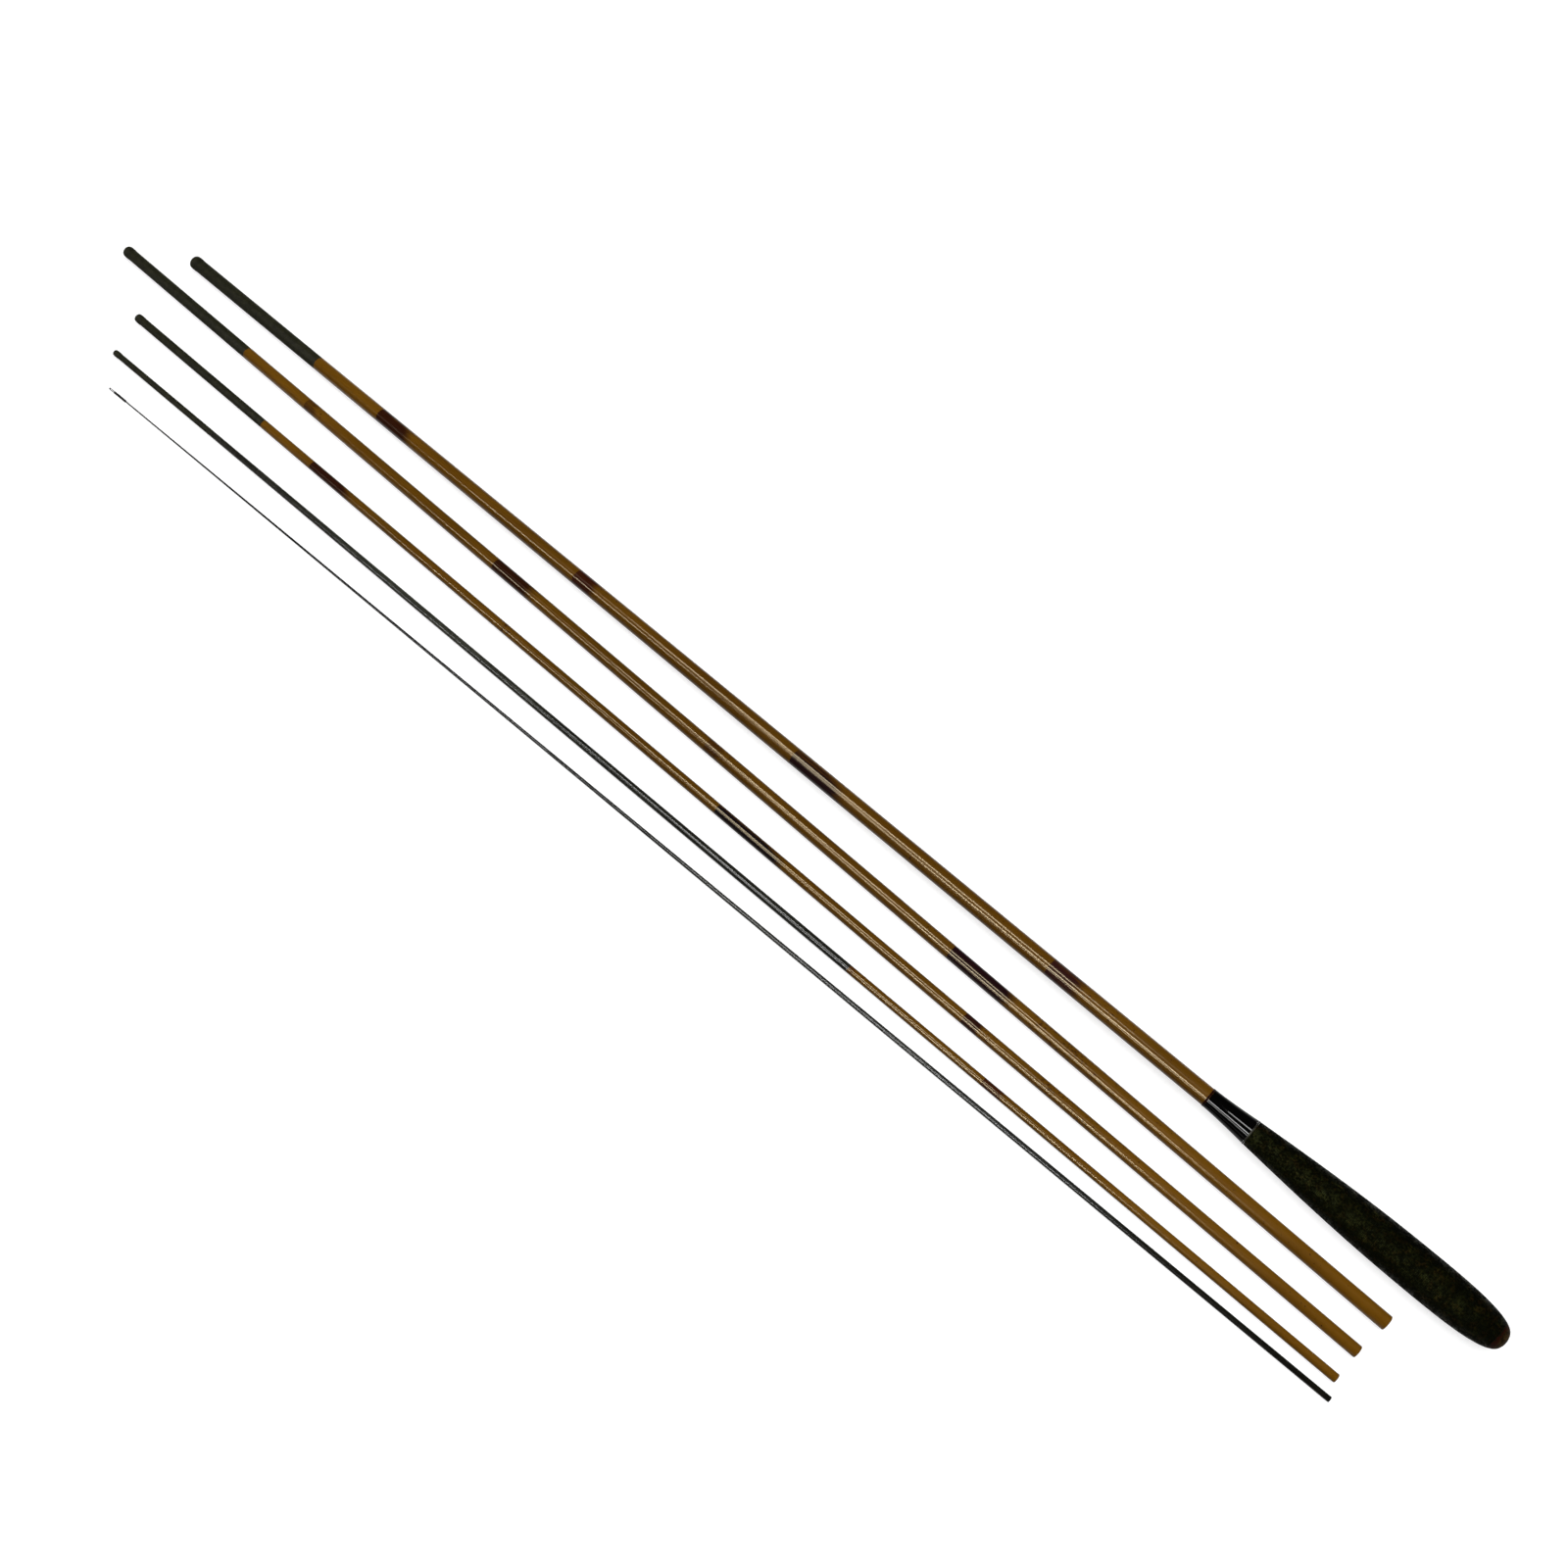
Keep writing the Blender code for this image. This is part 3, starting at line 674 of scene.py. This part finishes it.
def make_mouth(name, lie, sides, length, male, fit, sleeve_wall, winding_length):
    """The sleeve, the winding and the bead at one section's mouth. The length is the section's,
    the male diameter is that of the end it takes, and the fit is how deep that end goes."""
    socket = male / 2 + SOCKET_PLAY
    neck = socket + sleeve_wall
    seat = neck + GLUE_GAP
    radius = seat + THREAD_BUILD
    start = length - fit - STOP_LENGTH
    body = name + "_section"

    sleeve = draw_out(
        name + "_sleeve_carbon",
        [
            (start - SPIGOT_LENGTH, neck - SPIGOT_STEP),
            (start + 0.0001, neck - SPIGOT_STEP),
            (start + 0.0001, neck),
            (length - 0.00008, neck),
            (length, neck - 0.00006),
            (length, socket + 0.00006),
            (length - 0.0001, socket),
            (start + 0.004, socket),
            (start, socket - 0.0004),
            (start - SPIGOT_LENGTH, socket - 0.0004),
        ],
        sides=sides,
    )
    sleeve.data.materials.append(bare_carbon(name + "_carbon", lie))

    wound_from = length - winding_length
    winding = draw_out(
        name + "_winding_thread",
        [
            (wound_from + 0.0001, radius - 0.000075),
            (wound_from + 0.00018, radius - 0.00002),
            (wound_from + 0.0003, radius),
            (length - 0.0062, radius),
            (length - 0.0061, radius - 0.00002),
            (length - 0.0061, seat),
            (wound_from + 0.0001, seat),
        ],
        sides=sides,
    )
    thread = lacquered_thread(
        name + "_mouth_thread",
        lie,
        deep=(0.009, 0.0088, 0.0038),
        light=(0.022, 0.0212, 0.0098),
        pitch=0.00022,
        roughness=0.55,
    )
    winding.data.materials.append(thread)

    bead_turns = 20
    ridge = 0.00002
    bead_stations = []
    for along, rise in thread_turns(length - BEAD_LENGTH, length, 0.0, ridge, bead_turns):
        share = (along - (length - BEAD_LENGTH / 2)) / (BEAD_LENGTH / 2)
        swell = BEAD_SWELL * (1 - share**4) - ridge
        bead_stations.append((along, radius + max(swell, 0.0) + rise))
    bead_stations += [(length - 0.00002, seat), (length - 0.00598, seat)]
    bead = draw_out(name + "_bead_thread", bead_stations, sides=sides)
    bead.data.materials.append(thread)

    for piece, node, slot in (
        (sleeve, "_mouth_sleeve", "carbon_tube"),
        (winding, "_mouth_winding", "mouth_thread"),
        (bead, "_mouth_bead", "mouth_thread"),
    ):
        lay_down(piece, lie)
        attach(piece, body)
        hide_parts(name + node)


make_mouth("butt", butt_lie, sides=64, **butt_mouth)


# Second section: an amber tube whose plain lower end is pushed 80 mm into the butt's mouth. It is
# thickest a third of the way up.
def male_end(mouth, rim):
    """Stations of the plain lower end that is pushed into that mouth. Its rim is rounded: each of
    the rim's points is (distance along, how much thinner it is there)."""
    radius = mouth["male"] / 2
    rounded = [(along, radius - thinner) for along, thinner in rim]
    return [*rounded, (mouth["fit"], radius)]


ROUNDED_RIM = [(0.0, 0.0007), (0.00012, 0.00038), (0.00034, 0.00014), (0.0007, 0.0)]
second_mouth = {
    "length": 1.183,
    "male": 0.0076,
    "fit": 0.070,
    "sleeve_wall": 0.0004,
    "winding_length": 0.158,
}
second_lie = lie_of("second_blank", 0.0)
second_blank = draw_out(
    "second_blank_lacquered",
    [
        *male_end(butt_mouth, ROUNDED_RIM),
        (0.370, 0.00495),
        (1.0244, 0.00460),
        (1.0248, 0.00457),
        (1.025, 0.00448),
        *neck_under(**second_mouth),
        (0.080, 0.00375),
        (0.0, 0.00375),
    ],
    sides=64,
)
lay_down(second_blank, second_lie)
brown = (0.030, 0.008, 0.002)
second_joints = [
    (0.250, 0.010, 0.12, 0.1, 0.1, brown),
    (0.314, 0.058, 0.02, 1.3, 1.2, dark_plum),
    (0.5255, 0.018, 0.03, 0.6, 0.5, brown),
    (0.7365, 0.050, 0.06, 1.0, 0.95, (0.020, 0.005, 0.0015)),
    (0.950, 0.018, 0.03, 0.5, 0.45, brown),
]
second_amber = amber_lacquer("amber_second", second_lie, 0.005, second_joints)
second_blank.data.materials.append(second_amber)
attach(second_blank, "second_section")
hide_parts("second_blank")
make_mouth("second", second_lie, sides=64, **second_mouth)

# Third section: a slimmer amber tube, rolled and lacquered as the second is. Its lower end is
# pushed 70 mm into the second's mouth.
third_mouth = {
    "length": 1.115,
    "male": 0.00545,
    "fit": 0.060,
    "sleeve_wall": 0.00028,
    "winding_length": 0.158,
}
third_lie = lie_of("third_blank", 0.0)
third_blank = draw_out(
    "third_blank_lacquered",
    [
        *male_end(second_mouth, ROUNDED_RIM),
        (0.290, 0.00384),
        (0.9564, 0.003405),
        (0.9568, 0.00338),
        (0.957, 0.00328),
        *neck_under(**third_mouth),
        (0.070, 0.0030),
        (0.0, 0.0030),
    ],
    sides=64,
)
lay_down(third_blank, third_lie)
third_joints = [
    (0.220, 0.010, 0.08, 0.1, 0.1, brown),
    (0.278, 0.016, 0.05, 1.0, 0.95, (0.020, 0.005, 0.003)),
    (0.4845, 0.070, 0.03, 1.4, 0.5, (0.005, 0.0025, 0.0035)),
    (0.690, 0.004, 0.02, 0.4, 0.3, brown),
    (0.899, 0.055, 0.03, 1.0, 0.8, (0.022, 0.005, 0.002)),
]
third_blank.data.materials.append(amber_lacquer("amber_third", third_lie, 0.004, third_joints))
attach(third_blank, "third_section")
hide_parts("third_blank")
make_mouth("third", third_lie, sides=64, **third_mouth)

# Fourth section: amber for its first third and then satin dark olive, 5.5 mm thick, pushed 60 mm
# into the third's mouth. Past the middle its colour is lighter for a stretch: a painted highlight.
FOURTH_DARK_FROM = 0.349
fourth_rim = [(0.0, 0.000595), (0.0001, 0.000325), (0.0003, 0.000115), (0.0006, 0.0)]
fourth_mouth = {
    "length": 1.098,
    "male": 0.0035,
    "fit": 0.045,
    "sleeve_wall": 0.00026,
    "winding_length": 0.120,
}
fourth_lie = lie_of("fourth_blank", 0.0)
fourth_blank = draw_out(
    "fourth_blank_lacquered",
    [
        *male_end(third_mouth, fourth_rim),
        (0.190, 0.002755),
        (FOURTH_DARK_FROM, 0.002665),
        (0.9774, 0.00231),
        (0.9778, 0.00228),
        (0.978, 0.00219),
        *neck_under(**fourth_mouth),
        (0.060, 0.002025),
        (0.0, 0.002025),
    ],
    sides=48,
)
for face in fourth_blank.data.polygons:
    face.material_index = int(face.center.x > FOURTH_DARK_FROM)
lay_down(fourth_blank, fourth_lie)


def dark_lacquer(name, lie, tones):
    """Dark olive lacquer, satin, with faint streaks along it. Each tone is a distance from the
    butt end and the colour there. Lighter tones are a painted highlight on it."""
    material, tree, shader = new_material(name)
    place = section_place(tree, lie)
    streaks = noise(tree, section_place(tree, lie, stretch=(12, 1, 1)), 350, 4)
    uneven = calculate(tree, "MULTIPLY", streaks, noise(tree, place, 420, 3))
    lightness = remap(tree, uneven, 0.12, 0.40, 0.5, 1.6)
    toned = colour_ramp(tree, split_axes(tree, place)["X"], tones)
    tree.links.new(scale_colour(tree, toned, lightness), shader.inputs["Base Color"])
    add_bump(tree, shader, streaks, 0.03, 0.00005)
    shader.inputs["Roughness"].default_value = 0.17
    shader.inputs["Specular IOR Level"].default_value = 0.07
    return material


fourth_joints = [
    (0.244, 0.020, 0.03, 0.8, 0.9, (0.034, 0.008, 0.002)),
    (FOURTH_DARK_FROM, 0.006, 0.02, 0.6, 0.6, (0.045, 0.012, 0.003)),
]
# From 0.68 to 0.88 the tones are lighter: a painted highlight, the reflection of an overhead tube,
# over the lacquer's own dark olive.
fourth_tones_and_painted_highlight = [
    (FOURTH_DARK_FROM, (0.012, 0.012, 0.009)),
    (0.600, (0.014, 0.014, 0.010)),
    (0.680, (0.027, 0.027, 0.020)),
    (0.800, (0.025, 0.025, 0.019)),
    (0.880, (0.018, 0.017, 0.013)),
]
fourth_amber = amber_lacquer("amber_fourth", fourth_lie, 0.0027, fourth_joints)
fourth_blank.data.materials.append(fourth_amber)
fourth_blank.data.materials.append(dark_lacquer("dark_fourth", fourth_lie, fourth_tones_and_painted_highlight))
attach(fourth_blank, "fourth_section")
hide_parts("fourth_blank")
make_mouth("fourth", fourth_lie, sides=48, **fourth_mouth)

# Tip tube: the slim tube of the last section, rolled of carbon and lacquered dark. Its lower end
# is pushed 45 mm into the fourth's mouth.
tip_rim = [(0.0, 0.00035), (0.00008, 0.00018), (0.0002, 0.00007), (0.0004, 0.0)]
tip_lie = lie_of("tip_blank", 0.0)
tip_tube = draw_out(
    "tip_tube_lacquered",
    [
        *male_end(fourth_mouth, tip_rim),
        (0.290, 0.00165),
        (0.5998, 0.00118),
        (0.600, 0.00116),
        (0.600, 0.00065),
        (0.5699, 0.00065),
        (0.045, 0.00115),
        (0.0, 0.00115),
    ],
    sides=40,
)
lay_down(tip_tube, tip_lie)
# From 0.16 to 0.60 the tones are lighter: a painted highlight, the broad reflection of the
# overhead tubes, over the lacquer's own near black.
tip_tones_and_painted_highlight = [
    (0.0, (0.005, 0.0045, 0.003)),
    (0.12, (0.006, 0.0055, 0.0035)),
    (0.16, (0.017, 0.017, 0.014)),
    (0.40, (0.020, 0.020, 0.017)),
    (0.60, (0.012, 0.012, 0.010)),
]
tip_tube.data.materials.append(dark_lacquer("tip_dark_lacquer", tip_lie, tip_tones_and_painted_highlight))
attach(tip_tube, "tip_section")
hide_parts("tip_blank")

# Solid tip: a glass fibre rod, ground to a taper that ends 1 mm thick. Its thick end is glued
# 30 mm deep into the tube, and it is lacquered dark with it.
solid_tip = draw_out(
    "solid_tip_lacquered",
    [
        (0.570, 0.0006),
        (0.6001, 0.0006),
        (0.6001, 0.00115),
        (0.6003, 0.001175),
        (1.0618, 0.0005),
        (1.062, 0.00045),
    ],
    sides=40,
    solid=True,
)
lay_down(solid_tip, tip_lie)
# Lighter where it meets the tube, carrying on the tube's painted highlight, and darker towards the
# end.
solid_tones = [(0.60, (0.012, 0.012, 0.010)), (0.80, (0.005, 0.005, 0.0045))]
solid_tip.data.materials.append(dark_lacquer("solid_tip_dark_lacquer", tip_lie, solid_tones))
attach(solid_tip, "tip_section")
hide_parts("solid_tip")

# Tip whipping: fine dark thread wound over the end of the solid tip and the legs of the loop, then
# lacquered.
WHIPPING_END = 1.0700
whipping_turns = thread_turns(1.0565, WHIPPING_END, 0.00086, 0.00004, 60)
whipping_inside = [(1.0699, 0.0007), (1.0566, 0.0007)]
whipping = draw_out("tip_whipping_thread", whipping_turns + whipping_inside, sides=32)
lay_down(whipping, tip_lie)
whipping_thread = lacquered_thread(
    "tip_whipping_lacquered",
    tip_lie,
    deep=(0.004, 0.004, 0.0035),
    light=(0.016, 0.016, 0.014),
    pitch=0.000225,
    roughness=0.4,
)
whipping.data.materials.append(whipping_thread)
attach(whipping, "tip_section")
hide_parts("tip_whipping")


# Line loop: a short dark cord of two twisted strands. Both its legs are bound by the whipping, and
# a small knot at its far end keeps the line from slipping off.
def run_strand(name, points, thickness):
    """A round strand along those points, made a mesh."""
    curve = bpy.data.curves.new(name, "CURVE")
    curve.dimensions = "3D"
    curve.bevel_depth = thickness / 2
    curve.bevel_resolution = 2
    curve.use_fill_caps = True
    spline = curve.splines.new("POLY")
    spline.points.add(len(points) - 1)
    for knot, point in zip(spline.points, points):
        knot.co = (*point, 1)
    strand = bpy.data.objects.new(name, curve)
    bpy.context.collection.objects.link(strand)
    bpy.ops.object.select_all(action="DESELECT")
    strand.select_set(True)
    bpy.context.view_layer.objects.active = strand
    bpy.ops.object.convert(target="MESH")
    return bpy.context.object


LEG_OFFSET = 0.00035
LOOP_REACH = 0.0060
LOOP_BULGE = 0.00025
LOOP_FULLNESS = 0.8
STRAND_THICKNESS = 0.00030
STRAND_SWING = 0.00014
STRAND_TWIST = 0.0011
leg_ends = (1.0621, 1.0660)
loop_steps = 300
loop_middle = [Vector((along, LEG_OFFSET, 0)) for along in leg_ends]
for step in range(loop_steps + 1):
    turn = math.pi * step / loop_steps
    along = WHIPPING_END + LOOP_REACH * math.sin(turn) ** LOOP_FULLNESS
    across = LEG_OFFSET * math.cos(turn) + LOOP_BULGE * math.sin(2 * turn)
    loop_middle.append(Vector((along, across, 0)))
loop_middle += [Vector((along, -LEG_OFFSET, 0)) for along in reversed(leg_ends)]
strands = []
for twist in (0, math.pi):
    points = []
    for before, point, after in zip(loop_middle, loop_middle[1:], loop_middle[2:]):
        along = (after - before).normalized()
        across = Vector((-along.y, along.x, 0))
        twist += math.tau * (point - before).length / STRAND_TWIST
        swing = across * math.cos(twist) + Vector((0, 0, math.sin(twist)))
        points.append(point + swing * STRAND_SWING)
    strands.append(run_strand("loop_strand", points, STRAND_THICKNESS))

KNOT_RADIUS = 0.00042
KNOT_WIDTH = 0.0010
KNOT_TURNS = 3.5
KNOT_THICKNESS = 0.00034
knot_steps = 60
knot_points = []
for step in range(knot_steps + 1):
    angle = math.tau * KNOT_TURNS * step / knot_steps
    along = WHIPPING_END + LOOP_REACH + KNOT_RADIUS * math.cos(angle)
    across = -KNOT_WIDTH / 2 + KNOT_WIDTH * step / knot_steps
    knot_points.append(Vector((along, across, KNOT_RADIUS * math.sin(angle))))
strands.append(run_strand("loop_knot", knot_points, KNOT_THICKNESS))
bpy.ops.object.select_all(action="DESELECT")
for strand in strands:
    strand.select_set(True)
bpy.context.view_layer.objects.active = strands[0]
bpy.ops.object.join()
line_loop = strands[0]
line_loop.name = "line_loop_cord"
line_loop.data.name = "line_loop_cord"
bpy.ops.object.shade_smooth()
lay_down(line_loop, tip_lie)


def dark_cord(name, lie):
    """Dark grey cord with a soft nap."""
    material, tree, shader = new_material(name)
    fibre = noise(tree, section_place(tree, lie), 3000, 3)
    colour = mix_colours(tree, fibre, (0.012, 0.012, 0.011), (0.050, 0.050, 0.046))
    tree.links.new(colour, shader.inputs["Base Color"])
    add_bump(tree, shader, fibre, 0.4, 0.00005)
    shader.inputs["Roughness"].default_value = 0.8
    shader.inputs["Specular IOR Level"].default_value = 0.1
    return material


line_loop.data.materials.append(dark_cord("loop_dark_cord", tip_lie))
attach(line_loop, "tip_section")
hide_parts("line_loop")
